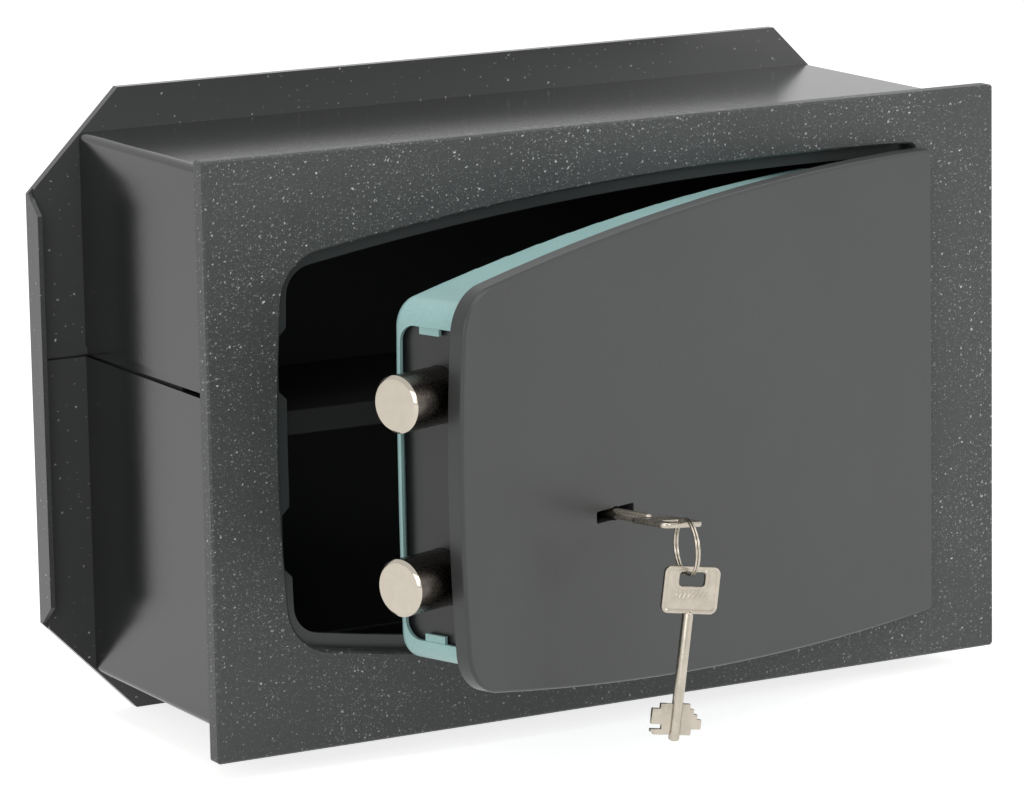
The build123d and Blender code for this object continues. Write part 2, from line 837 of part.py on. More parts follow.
def bit_face():
    """The two bits with their stepped cuts, drawn with the key's axis along Y and its tip at Y = 0."""
    start = -bit_from_tip
    end = start - bit_length
    half = bit_width / 2
    right = [
        (0, start),
        (half * 0.62, start),
        (half * 0.62, start - 2.4),
        (half, start - 2.4),
        (half, start - 6.2),
        (half * 0.82, start - 6.2),
        (half * 0.82, start - 8.2),
        (half * 0.66, start - 8.2),
        (half * 0.66, start - 10.2),
        (half * 0.5, start - 10.2),
        (half * 0.5, end),
        (0, end),
    ]
    left = [
        (0, end),
        (-half * 0.68, end),
        (-half * 0.68, end + 2.0),
        (-half, end + 2.0),
        (-half, start - 4.1),
        (-half * 0.57, start - 4.1),
        (-half * 0.57, start - 2.2),
        (-half, start - 2.2),
        (-half, start - 0.9),
        (-half * 0.88, start - 0.9),
        (-half * 0.88, start),
        (0, start),
    ]
    return make_face(Polyline(*right, close=True)) + make_face(Polyline(*left, close=True))


def bow_face():
    """The bow in plan, with its ring slot, its outer end at Y = -key_length."""
    middle = -key_length + bow_height / 2
    bow = Pos(0, middle) * RectangleRounded(bow_width, bow_height, bow_corner_radius)
    slot_middle = -key_length + bow_slot_from_end + bow_slot_height / 2
    return bow - Pos(0, slot_middle) * RectangleRounded(bow_slot_width, bow_slot_height, bow_slot_radius)


def flat_key():
    """A key lying flat: width along X, length along Y with the tip at the origin, thickness along Z."""
    bow = extrude(bow_face(), amount=bow_thickness / 2, both=True)
    bow = chamfer(bow.faces().sort_by(Axis.Z)[-1].outer_wire().edges(), 0.4)
    bow = chamfer(bow.faces().sort_by(Axis.Z)[0].outer_wire().edges(), 0.4)
    bits = extrude(bit_face(), amount=bit_thickness / 2, both=True)
    groove_x = -key_shank / 2 - 1.6
    groove = Pos(groove_x, -bit_from_tip - bit_length / 2, bit_thickness / 2) * Box(1.4, bit_length + 2, 2 * bit_groove)
    bits -= groove
    shank_length = key_length - bow_height + 1.5
    shank = Pos(0, -shank_length / 2, 0) * (Rot(90, 0, 0) * Cylinder(key_shank / 2, shank_length))
    tip = shank.faces().sort_by(Axis.Y)[-1].edges()
    shank = fillet(tip, 1.0)
    return bow + bits + shank


def turned_key():
    """The key in the lock, at its resting turn."""
    key = flat_key().rotate(Axis.Y, key_rest_turn)
    return Pos(lock_x, key_tip, lock_height) * key


def bar_middle():
    """Middle of the bow's end bar where the ring crosses it, on the key in the lock."""
    y = key_tip - key_length + bow_slot_from_end / 2
    turn = math.radians(key_rest_turn)
    x = lock_x + ring_side * math.cos(turn)
    z = lock_height - ring_side * math.sin(turn)
    return x, y, z


def ring_centre():
    """The ring hangs a little forward of the bar, with the bar's inner edge just clear of the wire."""
    x, y, z = bar_middle()
    skew = math.radians(ring_skew)
    inner = ring_outer / 2 - ring_wire
    reach = bow_slot_from_end / 2 + ring_forward + ring_rest_gap + ring_pitch * math.sin(skew) / 2
    across = reach / math.cos(skew)
    drop = math.sqrt(inner**2 - across**2) - bow_thickness / 2
    return x, y - ring_forward, z - drop


def ring_path():
    """Two turns of wire as half circles, each tilted so that the ends step by half a pitch."""
    radius = ring_outer / 2 - ring_wire / 2
    step = ring_pitch / 2
    half_turns = 4
    edges = []
    for n in range(half_turns):
        side = 1 if n % 2 == 0 else -1
        z0 = (n - half_turns / 2) * step
        z1 = z0 + step
        start = (side * radius, 0, z0)
        end = (-side * radius, 0, z1)
        reach = math.hypot(2 * radius, step) / 2
        edges.append(ThreePointArc(start, (0, side * reach, (z0 + z1) / 2), end))
    return Wire(edges)


def print_wire_gap(path):
    """Measure on points how near the wire's two turns come to each other."""
    count = 240
    points = [path @ (n / count) for n in range(count + 1)]
    apart = count // 4
    pairs = [(a, b) for a in range(count + 1) for b in range(a + apart, count + 1)]
    nearest = min((points[a] - points[b]).length for a, b in pairs)
    print(f"key ring: least gap between its turns {nearest - ring_wire:.2f} mm")


def split_ring():
    """The split ring, wound about its own axis, then set upright and skewed as it hangs."""
    path = ring_path()
    print_wire_gap(path)
    start = Plane(origin=path @ 0, z_dir=path % 0)
    wire = sweep(start * Circle(ring_wire / 2), path=path)
    upright = wire.rotate(Axis.Y, 90)
    skewed = upright.rotate(Axis.Z, -ring_skew)
    return Pos(*ring_centre()) * skewed


def spare_key():
    """The spare key hangs in the ring by its bow's end bar, square to the ring."""
    bar_x = spare_side
    slot_edge = -key_length + bow_slot_from_end
    key = Pos(bar_x, -slot_edge, 0) * flat_key()
    key = key.rotate(Axis.X, -90)
    key = key.rotate(Axis.Y, spare_tilt)
    key = key.rotate(Axis.Z, -ring_skew)
    x, y, z = ring_centre()
    seat = z - ring_outer / 2 + ring_wire + spare_rest_gap
    return Pos(x, y, seat) * key


def write(shapes, name):
    """One STEP file for each node."""
    solids = shapes if isinstance(shapes, list) else [shapes]
    solids = [solid for shape in solids for solid in shape.solids()]
    shape = solids[0] if len(solids) == 1 else Compound(children=solids)
    export_step(shape, f"parts/{name}.step")


def build():
    os.makedirs("parts", exist_ok=True)
    write(front_frame(), "front_frame")
    write(stop_plate(), "stop_plate")
    write(upper_shell(), "upper_shell")
    write(lower_shell(), "lower_shell")
    write(back_plate(), "back_plate")
    write(shelf_rail(-1), "left_rail")
    write(shelf_rail(1), "right_rail")
    write(shelf(), "shelf")
    write(hinge_bracket(hinge_height), "upper_hinge_bracket")
    write(hinge_bracket(-hinge_height), "lower_hinge_bracket")
    write([hinge_pin(hinge_height), hinge_pin(-hinge_height)], "hinge_pins")
    door_parts = {
        "door_plate": door_plate(),
        "upper_hinge_arm": hinge_arm(hinge_height),
        "lower_hinge_arm": hinge_arm(-hinge_height),
        "door_casing": casing(),
        "casing_studs": casing_studs(),
        "casing_screws": casing_screws(),
        "bolt_guide": bolt_guide(),
        "upper_bolt": bolt(bolt_heights[0]),
        "lower_bolt": bolt(bolt_heights[1]),
        "bolt_bar": bolt_bar(),
        "bar_screws": bar_screws(),
        "lock_case": lock_case(),
        "lock_cover": lock_cover_plate(),
        "lock_posts": lock_posts(),
        "lock_partition": lock_partition(),
        "lever_guides": lever_guides(),
        "levers": levers(),
        "lever_spring": lever_spring(),
        "key_drum": key_drum(),
        "lock_key": turned_key(),
        "key_ring": split_ring(),
        "spare_key": spare_key(),
    }
    for name, shape in door_parts.items():
        shapes = shape if isinstance(shape, list) else [shape]
        write([opened(part) for part in shapes], name)


build()
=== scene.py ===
"""A built-in wall safe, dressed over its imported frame: paints, bolts, keys, a ring and a studio."""

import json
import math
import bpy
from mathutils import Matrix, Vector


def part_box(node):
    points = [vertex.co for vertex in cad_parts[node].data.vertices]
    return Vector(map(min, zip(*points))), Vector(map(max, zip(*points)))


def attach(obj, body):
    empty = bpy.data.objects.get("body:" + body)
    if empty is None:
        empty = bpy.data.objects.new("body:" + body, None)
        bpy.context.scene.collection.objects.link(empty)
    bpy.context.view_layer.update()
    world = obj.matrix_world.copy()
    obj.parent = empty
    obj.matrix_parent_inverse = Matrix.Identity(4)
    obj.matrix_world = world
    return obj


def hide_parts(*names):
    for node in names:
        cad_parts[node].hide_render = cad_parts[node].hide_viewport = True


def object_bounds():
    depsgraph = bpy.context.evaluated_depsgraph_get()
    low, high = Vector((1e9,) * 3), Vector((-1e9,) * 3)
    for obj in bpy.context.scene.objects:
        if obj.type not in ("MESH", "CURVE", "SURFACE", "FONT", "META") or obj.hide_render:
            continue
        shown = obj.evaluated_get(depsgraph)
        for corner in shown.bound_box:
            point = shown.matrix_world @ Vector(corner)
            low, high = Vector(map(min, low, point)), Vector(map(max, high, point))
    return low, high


bl_info = {
    "name": "Wall safe",
    "version": (1, 0, 0),
    "blender": (4, 5, 0),
    "location": "3D View > Sidebar > Safe",
    "description": "Finishes a wall safe with speckled paint, nickel bolts, keys on a ring and a studio",
    "category": "Object",
}

import bpy
import numpy as np
from mathutils import Matrix, Vector

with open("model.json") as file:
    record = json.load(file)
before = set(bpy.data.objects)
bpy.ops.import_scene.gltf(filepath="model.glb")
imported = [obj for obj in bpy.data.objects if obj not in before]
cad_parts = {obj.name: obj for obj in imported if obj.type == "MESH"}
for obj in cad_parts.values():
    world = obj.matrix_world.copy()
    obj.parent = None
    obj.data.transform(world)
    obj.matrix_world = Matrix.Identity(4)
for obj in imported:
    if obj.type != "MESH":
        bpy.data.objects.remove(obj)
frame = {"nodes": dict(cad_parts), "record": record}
cad_low, cad_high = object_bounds()
joints = {joint["name"]: joint for joint in frame["record"]["behaviour"]["joints"]}
hinge_point = np.array(joints["door_swing"]["pos_m"])
open_angle = math.radians(-joints["door_swing"]["range_deg"][0])


def linear(code):
    """An sRGB hex colour as Blender's linear red, green, blue and alpha."""
    values = [int(code[n : n + 2], 16) / 255 for n in (0, 2, 4)]
    return [v / 12.92 if v <= 0.04045 else ((v + 0.055) / 1.055) ** 2.4 for v in values] + [1.0]


def opened(points):
    """Points given with the door shut, turned about the hinge to where the door stands."""
    turn = np.array(Matrix.Rotation(open_angle, 3, "Z"))
    return (np.asarray(points) - hinge_point) @ turn.T + hinge_point


def shut(point):
    """A point on the standing door, turned back to where it is with the door shut."""
    turn = np.array(Matrix.Rotation(open_angle, 3, "Z"))
    return (np.asarray(point) - hinge_point) @ turn + hinge_point


def shut_box(name):
    """Low and high corners of a node on the door, as they are with the door shut."""
    node = frame["nodes"][name]
    points = np.empty(len(node.data.vertices) * 3, dtype=np.float32)
    node.data.vertices.foreach_get("co", points)
    world = np.array(node.matrix_world)
    points = shut(points.reshape(-1, 3) @ world[:3, :3].T + world[:3, 3])
    return points.min(axis=0), points.max(axis=0)


# The body's sheet, the gap and rail between shelf and wall, and small distances between faces, in metres.
sheet = 0.002
shelf_to_wall, into_wall = 0.002, 0.0002
door_stands_out = 0.0003
face_margin = 0.0003
floor_gap = 0.0003

lock_axis = shut(joints["key_turn"]["pos_m"])
door_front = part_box("front_frame")[0][1] - door_stands_out
rear_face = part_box("back_plate")[1][1]
flange_front = rear_face - 2 * sheet
back_middle = rear_face - sheet / 2
inside_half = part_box("shelf")[1][0] + shelf_to_wall + into_wall
inside_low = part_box("stop_plate")[0][2]
inside_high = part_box("stop_plate")[1][2]

# Fine detail of the keys, in metres: the bow's corners, rim and grip ribs, the shank's ends, the bits' edges.
bow_corner, slot_corner = 0.003, 0.0012
rim_width, rim_fade, rim_height = 0.0009, 0.0005, 0.0003
rib_pitch, rib_slant, rib_height = 0.00175, 0.45, 0.00022
rib_row_up, rib_row_half_height, rib_row_half_width = 0.0022, 0.0015, 0.008
edge_rounding = 0.00045
dome_depth, tip_depth = 0.0011, 0.0012
groove_depth = 0.0009
broken_edge = 0.00014

# The bolts' ends, in metres: a wide broken edge, its soft rounding, and the small chamfer beside it.
bolt_edge, bolt_rounding, bolt_chamfer = 0.0011, 0.0003, 0.0004

# Sizes of the patterns in the paint and the plating, in metres.
peel_size, grain_size, cloud_size = 0.0016, 0.0009, 0.07
ragged_size, ragged_push, drift_size = 0.0006, 0.0013, 0.045
plating_cloud_size = 0.006

# The coat's gloss, and the light that the studio gives.
coat_ior = 1.5
inner_roughness = 0.7
floor_reach = 9.0
floor_glow = 0.78
room_light = 0.4
lamp_target = (0.0, -0.1, 0.0)


class SafePaints(bpy.types.PropertyGroup):
    frame_colour: bpy.props.FloatVectorProperty(
        name="Frame paint", description="Ground of the speckled powder coat", subtype="COLOR", size=4,
        min=0, max=1, default=linear("3d3f3f"))
    fleck_colour: bpy.props.FloatVectorProperty(
        name="Fleck", description="Pale flecks in the powder coat", subtype="COLOR", size=4,
        min=0, max=1, default=linear("dfe2e0"))
    body_colour: bpy.props.FloatVectorProperty(
        name="Body paint", description="Smooth powder coat of the sheet body", subtype="COLOR", size=4,
        min=0, max=1, default=linear("232425"))
    flange_colour: bpy.props.FloatVectorProperty(
        name="Flange paint", description="Powder coat of the back plate and its flanges", subtype="COLOR", size=4,
        min=0, max=1, default=linear("444545"))
    door_colour: bpy.props.FloatVectorProperty(
        name="Door paint", description="Satin powder coat of the door plate", subtype="COLOR", size=4,
        min=0, max=1, default=linear("353737"))
    casing_colour: bpy.props.FloatVectorProperty(
        name="Casing paint", description="Light teal paint of the casing behind the door", subtype="COLOR", size=4,
        min=0, max=1, default=linear("a9d2d0"))
    nickel_colour: bpy.props.FloatVectorProperty(
        name="Nickel", description="Warm tone of the nickel plating", subtype="COLOR", size=4,
        min=0, max=1, default=linear("bbb3a6"))
    # Painted shade: a near-black colour laid on the faces inside the body, standing in for the shade in the room.
    inside_shade_colour: bpy.props.FloatVectorProperty(
        name="Inner paint", description="Black primer inside the body", subtype="COLOR", size=4,
        min=0, max=1, default=linear("0d0d0d"))
    fleck_spacing: bpy.props.FloatProperty(
        name="Fleck spacing", description="Mean distance between the larger flecks", default=0.005,
        min=0.001, max=0.02, unit="LENGTH")


class SafeKeySizes(bpy.types.PropertyGroup):
    length: bpy.props.FloatProperty(
        name="Length", description="Tip to the end of the bow", default=0.0683, unit="LENGTH")
    stick_out: bpy.props.FloatProperty(
        name="Stick-out", description="How far the key stands out of the door", default=0.0351, unit="LENGTH")
    bow_width: bpy.props.FloatProperty(
        name="Bow width", description="Width of the bow", default=0.0231, unit="LENGTH")
    bow_height: bpy.props.FloatProperty(
        name="Bow height", description="Length of the bow", default=0.0185, unit="LENGTH")
    bow_thickness: bpy.props.FloatProperty(
        name="Bow thickness", description="Thickness of the bow", default=0.002, unit="LENGTH")
    slot_width: bpy.props.FloatProperty(
        name="Slot width", description="Ring slot, across", default=0.0104, unit="LENGTH")
    slot_height: bpy.props.FloatProperty(
        name="Slot height", description="Ring slot, along", default=0.0054, unit="LENGTH")
    slot_from_end: bpy.props.FloatProperty(
        name="End bar", description="Bar between the slot and the bow's end", default=0.0023, unit="LENGTH")
    shank: bpy.props.FloatProperty(
        name="Shank", description="Diameter of the shank", default=0.0043, unit="LENGTH")
    bit_width: bpy.props.FloatProperty(
        name="Bit width", description="Across both bits", default=0.0206, unit="LENGTH")
    bit_length: bpy.props.FloatProperty(
        name="Bit length", description="Bits along the shank", default=0.0122, unit="LENGTH")
    bit_thickness: bpy.props.FloatProperty(
        name="Bit thickness", description="Thickness of the bits", default=0.0018, unit="LENGTH")
    bit_from_tip: bpy.props.FloatProperty(
        name="Tip length", description="Shank beyond the bits", default=0.0025, unit="LENGTH")
    rest_turn: bpy.props.FloatProperty(
        name="Rest turn", description="Turn of the key in the lock", default=math.radians(8.0), subtype="ANGLE")
    spare_tilt: bpy.props.FloatProperty(
        name="Spare tilt", description="Lean of the hanging key", default=math.radians(7.5), subtype="ANGLE")
    spare_side: bpy.props.FloatProperty(
        name="Spare offset", description="Hanging key's middle from the ring", default=0.0022, unit="LENGTH")
    spare_gap: bpy.props.FloatProperty(
        name="Spare gap", description="Clearance under the hanging key's bar", default=0.00045, unit="LENGTH")


class SafeRingSizes(bpy.types.PropertyGroup):
    outer: bpy.props.FloatProperty(
        name="Outer", description="Outer diameter", default=0.0224, unit="LENGTH")
    wire: bpy.props.FloatProperty(
        name="Wire", description="Wire diameter", default=0.001, unit="LENGTH")
    pitch: bpy.props.FloatProperty(
        name="Pitch", description="Step of one turn", default=0.00108, unit="LENGTH")
    skew: bpy.props.FloatProperty(
        name="Skew", description="Turn of the ring about the upright", default=math.radians(28.5), subtype="ANGLE")


class SafeStage(bpy.types.PropertyGroup):
    floor_colour: bpy.props.FloatVectorProperty(
        name="Floor", description="Pale studio floor", subtype="COLOR", size=4,
        min=0, max=1, default=linear("e6e6e4"))
    lamp_power: bpy.props.FloatProperty(
        name="Lamps", description="Power that the three lamps take their shares of", default=17.0, unit="POWER")
    focal_length: bpy.props.FloatProperty(
        name="Lens", description="Focal length of the camera in millimetres", default=195.79)


def add_node(tree, kind, inputs=None, **settings):
    """Add one node with its settings, its input values and its input links."""
    made = tree.nodes.new(kind)
    for name, value in settings.items():
        setattr(made, name, value)
    for key, value in (inputs or {}).items():
        if isinstance(value, bpy.types.NodeSocket):
            tree.links.new(value, made.inputs[key])
        else:
            made.inputs[key].default_value = value
    return made


def blank_material(name):
    """An empty material with its output, and the object coordinates that patterns read."""
    material = bpy.data.materials.new(name)
    material.use_nodes = True
    tree = material.node_tree
    tree.nodes.clear()
    output = add_node(tree, "ShaderNodeOutputMaterial")
    place = add_node(tree, "ShaderNodeTexCoord").outputs["Object"]
    return material, tree, output, place


def flecks(tree, flat, spacing, radius, share):
    """Flecks: one in a share of the cells of a given spacing, each of its own size and brightness."""
    cells = add_node(tree, "ShaderNodeTexVoronoi", {"Vector": flat, "Scale": 1 / spacing}, voronoi_dimensions="2D")
    chance = add_node(tree, "ShaderNodeSeparateColor", {"Color": cells.outputs["Color"]})
    red, green, blue = (chance.outputs[channel] for channel in ("Red", "Green", "Blue"))
    drift = add_node(tree, "ShaderNodeTexNoise", {"Vector": flat, "Scale": 1 / drift_size, "Detail": 2.0})
    most = add_node(tree, "ShaderNodeMapRange", {"Value": drift.outputs["Fac"], "From Min": 0.35, "From Max": 0.65,
                                                 "To Min": share * 0.5, "To Max": share * 1.4})
    picked = add_node(tree, "ShaderNodeMath", {0: red, 1: most.outputs[0]}, operation="LESS_THAN")
    size = add_node(tree, "ShaderNodeMapRange", {"Value": green, "To Min": radius / spacing * 0.45,
                                                 "To Max": radius / spacing})
    edge = add_node(tree, "ShaderNodeMath", {0: cells.outputs["Distance"], 1: size.outputs[0]}, operation="DIVIDE")
    inside = add_node(tree, "ShaderNodeMapRange", {"Value": edge.outputs[0], "From Min": 1.0, "From Max": 0.45},
                      interpolation_type="SMOOTHSTEP")
    bright = add_node(tree, "ShaderNodeMapRange", {"Value": blue, "To Min": 0.3, "To Max": 1.0})
    lit = add_node(tree, "ShaderNodeMath", {0: inside.outputs[0], 1: bright.outputs[0]}, operation="MULTIPLY")
    shown = add_node(tree, "ShaderNodeMath", {0: lit.outputs[0], 1: picked.outputs[0]}, operation="MULTIPLY")
    return shown.outputs[0]


def speckle(tree, flat, colour, fleck, layers):
    """A ground with its layers of flecks laid over it, one after the other."""
    for spacing, radius, share, strength in layers:
        spots = flecks(tree, flat, spacing, radius, share)
        amount = add_node(tree, "ShaderNodeMath", {0: spots, 1: strength}, operation="MULTIPLY")
        mixed = add_node(tree, "ShaderNodeMix", {"Factor": amount.outputs[0], "A": colour, "B": tuple(fleck)},
                         data_type="RGBA")
        colour = mixed.outputs["Result"]
    return colour


def seeing_rays(tree):
    """1 for camera, glossy and transmission rays, which see the white studio, and 0 for the rest."""
    rays = add_node(tree, "ShaderNodeLightPath").outputs
    direct = add_node(tree, "ShaderNodeMath", {0: rays["Is Camera Ray"], 1: rays["Is Glossy Ray"]},
                      operation="MAXIMUM")
    every = add_node(tree, "ShaderNodeMath", {0: direct.outputs[0], 1: rays["Is Transmission Ray"]},
                     operation="MAXIMUM")
    return every.outputs[0]


def inside_shade_mask(tree, place):
    """A factor that is 1 on what faces the room inside the body and 0 outside it, from the place alone: it marks
    where the painted shade goes.

    The room's half width and its low and high ends bound it, and it ends in the middle of the back plate, so that
    the plate's rear face keeps its own paint."""
    axes = add_node(tree, "ShaderNodeSeparateXYZ", {"Vector": place})
    side = add_node(tree, "ShaderNodeMath", {0: axes.outputs["X"]}, operation="ABSOLUTE")
    between = add_node(tree, "ShaderNodeMath", {0: side.outputs[0], 1: inside_half}, operation="LESS_THAN")
    above = add_node(tree, "ShaderNodeMath", {0: axes.outputs["Z"], 1: inside_low}, operation="GREATER_THAN")
    below = add_node(tree, "ShaderNodeMath", {0: axes.outputs["Z"], 1: inside_high}, operation="LESS_THAN")
    level = add_node(tree, "ShaderNodeMath", {0: above.outputs[0], 1: below.outputs[0]}, operation="MULTIPLY")
    room = add_node(tree, "ShaderNodeMath", {0: level.outputs[0], 1: between.outputs[0]}, operation="MULTIPLY")
    before = add_node(tree, "ShaderNodeMath", {0: axes.outputs["Y"], 1: back_middle}, operation="LESS_THAN")
    inside = add_node(tree, "ShaderNodeMath", {0: room.outputs[0], 1: before.outputs[0]}, operation="MULTIPLY")
    return inside.outputs[0]


def powder_coat(name, ground, fleck, layers, roughness=0.3, bump=0.00003, inner=None, rear=None):
    """Epoxy powder coat, baked on steel: a glossy skin with a fine orange peel over a nearly black ground.

    The peel is drawn about 1.6 mm from crest to crest, which is typical of such a coat. The flecks' ragged edge is
    drawn at 0.6 mm, coarser than real grains, which are too fine to show. The flecks lie in the plane of the frame,
    and each layer of them has its own spacing, radius, share of cells and brightness. The side that faces the room
    inside can have a darker, dull paint as painted shade, and the rear flanges their own flecked one."""
    material, tree, output, place = blank_material(name)
    peel = add_node(tree, "ShaderNodeTexNoise", {"Vector": place, "Scale": 1 / peel_size, "Detail": 3.0,
                                                 "Roughness": 0.6})
    cloud = add_node(tree, "ShaderNodeTexNoise", {"Vector": place, "Scale": 1 / cloud_size, "Detail": 3.0})
    mottle = add_node(tree, "ShaderNodeTexNoise", {"Vector": place, "Scale": 1 / grain_size, "Detail": 2.0})
    shade = add_node(tree, "ShaderNodeMapRange", {"Value": cloud.outputs["Fac"], "From Min": 0.3, "From Max": 0.7,
                                                  "To Min": 0.9, "To Max": 1.1})
    spread = 0.25 if layers else 0.06
    grain = add_node(tree, "ShaderNodeMapRange", {"Value": mottle.outputs["Fac"], "From Min": 0.3, "From Max": 0.7,
                                                  "To Min": 1 - spread, "To Max": 1 + spread})
    both = add_node(tree, "ShaderNodeMath", {0: shade.outputs[0], 1: grain.outputs[0]}, operation="MULTIPLY")
    toned = add_node(tree, "ShaderNodeVectorMath", {0: tuple(ground)[:3], "Scale": both.outputs[0]},
                     operation="SCALE")
    colour = toned.outputs["Vector"]
    ragged = add_node(tree, "ShaderNodeTexNoise", {"Vector": place, "Scale": 1 / ragged_size, "Detail": 1.0})
    push = add_node(tree, "ShaderNodeVectorMath", {0: ragged.outputs["Color"], "Scale": ragged_push},
                    operation="SCALE")
    torn = add_node(tree, "ShaderNodeVectorMath", {0: place, 1: push.outputs[0]}, operation="ADD").outputs[0]
    across = add_node(tree, "ShaderNodeVectorMath", {0: torn, 1: (1.0, 0.9, 0.0)}, operation="DOT_PRODUCT")
    upward = add_node(tree, "ShaderNodeVectorMath", {0: torn, 1: (0.0, 0.4, 1.0)}, operation="DOT_PRODUCT")
    plane = add_node(tree, "ShaderNodeCombineXYZ", {"X": across.outputs["Value"], "Y": upward.outputs["Value"]})
    flat = plane.outputs[0]
    colour = speckle(tree, flat, colour, fleck, layers)
    if rear:
        behind = add_node(tree, "ShaderNodeSeparateXYZ", {"Vector": place})
        on_flange = add_node(tree, "ShaderNodeMath", {0: behind.outputs["Y"], 1: flange_front - face_margin},
                             operation="GREATER_THAN")
        dusty = speckle(tree, flat, tuple(rear[0]), fleck, rear[1])
        mixed = add_node(tree, "ShaderNodeMix", {"Factor": on_flange.outputs[0], "A": colour, "B": dusty},
                         data_type="RGBA")
        colour = mixed.outputs["Result"]
    gloss = add_node(tree, "ShaderNodeMapRange", {"Value": cloud.outputs["Fac"], "To Min": roughness - 0.03,
                                                  "To Max": roughness + 0.03}).outputs[0]
    # Painted shade: the faces inside the body take a darker, duller paint that stands in for the shade in the room.
    if inner:
        room = inside_shade_mask(tree, place)
        mixed = add_node(tree, "ShaderNodeMix", {"Factor": room, "A": colour, "B": tuple(inner)}, data_type="RGBA")
        colour = mixed.outputs["Result"]
        blend = add_node(tree, "ShaderNodeMix", {"Factor": room, "A": gloss, "B": inner_roughness})
        gloss = blend.outputs["Result"]
    relief = add_node(tree, "ShaderNodeBump", {"Height": peel.outputs["Fac"], "Distance": bump, "Strength": 1.0})
    skin = add_node(tree, "ShaderNodeBsdfPrincipled", {"Base Color": colour, "Roughness": gloss, "IOR": coat_ior,
                                                       "Normal": relief.outputs["Normal"]})
    tree.links.new(skin.outputs[0], output.inputs["Surface"])
    return material


def plated_metal(name, tone, roughness, streak, axis_scale, bump=0.00002, darker=0.82, worn=0.0):
    """Metal with a plated or machined surface: fine streaks along one direction and faint clouding.

    Real polishing lines are a few hundredths of a millimetre apart and too fine to show, so they are drawn at 0.5
    to 3 mm. Where it is worn by handling, the hollows hold brown tarnish and the crests are rubbed
    bright."""
    material, tree, output, place = blank_material(name)
    drawn = add_node(tree, "ShaderNodeMapping", {"Vector": place, "Scale": axis_scale})
    lines = add_node(tree, "ShaderNodeTexNoise", {"Vector": drawn.outputs[0], "Scale": 1 / streak, "Detail": 4.0})
    cloud = add_node(tree, "ShaderNodeTexNoise", {"Vector": place, "Scale": 1 / plating_cloud_size, "Detail": 4.0,
                                                  "Roughness": 0.6})
    fade = add_node(tree, "ShaderNodeMapRange", {"Value": cloud.outputs["Fac"], "From Min": 0.35, "From Max": 0.75})
    dark = tuple(v * darker for v in tuple(tone)[:3]) + (1.0,)
    mixed = add_node(tree, "ShaderNodeMix", {"Factor": fade.outputs[0], "A": dark, "B": tuple(tone)},
                     data_type="RGBA")
    colour = mixed.outputs["Result"]
    if worn:
        shape = add_node(tree, "ShaderNodeNewGeometry").outputs["Pointiness"]
        hollow = add_node(tree, "ShaderNodeMapRange", {"Value": shape, "From Min": 0.5, "From Max": 0.44,
                                                       "To Max": worn})
        tarnish = tuple(v * s for v, s in zip(tuple(tone), (0.34, 0.29, 0.23))) + (1.0,)
        stained = add_node(tree, "ShaderNodeMix", {"Factor": hollow.outputs[0], "A": colour, "B": tarnish},
                           data_type="RGBA")
        colour = stained.outputs["Result"]
    gloss = add_node(tree, "ShaderNodeMapRange", {"Value": lines.outputs["Fac"], "From Min": 0.3, "From Max": 0.7,
                                                  "To Min": roughness * 0.75, "To Max": roughness * 1.25})
    relief = add_node(tree, "ShaderNodeBump", {"Height": lines.outputs["Fac"], "Distance": bump, "Strength": 1.0})
    skin = add_node(tree, "ShaderNodeBsdfPrincipled", {"Base Color": colour, "Roughness": gloss.outputs[0],
                                                       "Metallic": 1.0, "Normal": relief.outputs["Normal"]})
    tree.links.new(skin.outputs[0], output.inputs["Surface"])
    return material


finishes = {}


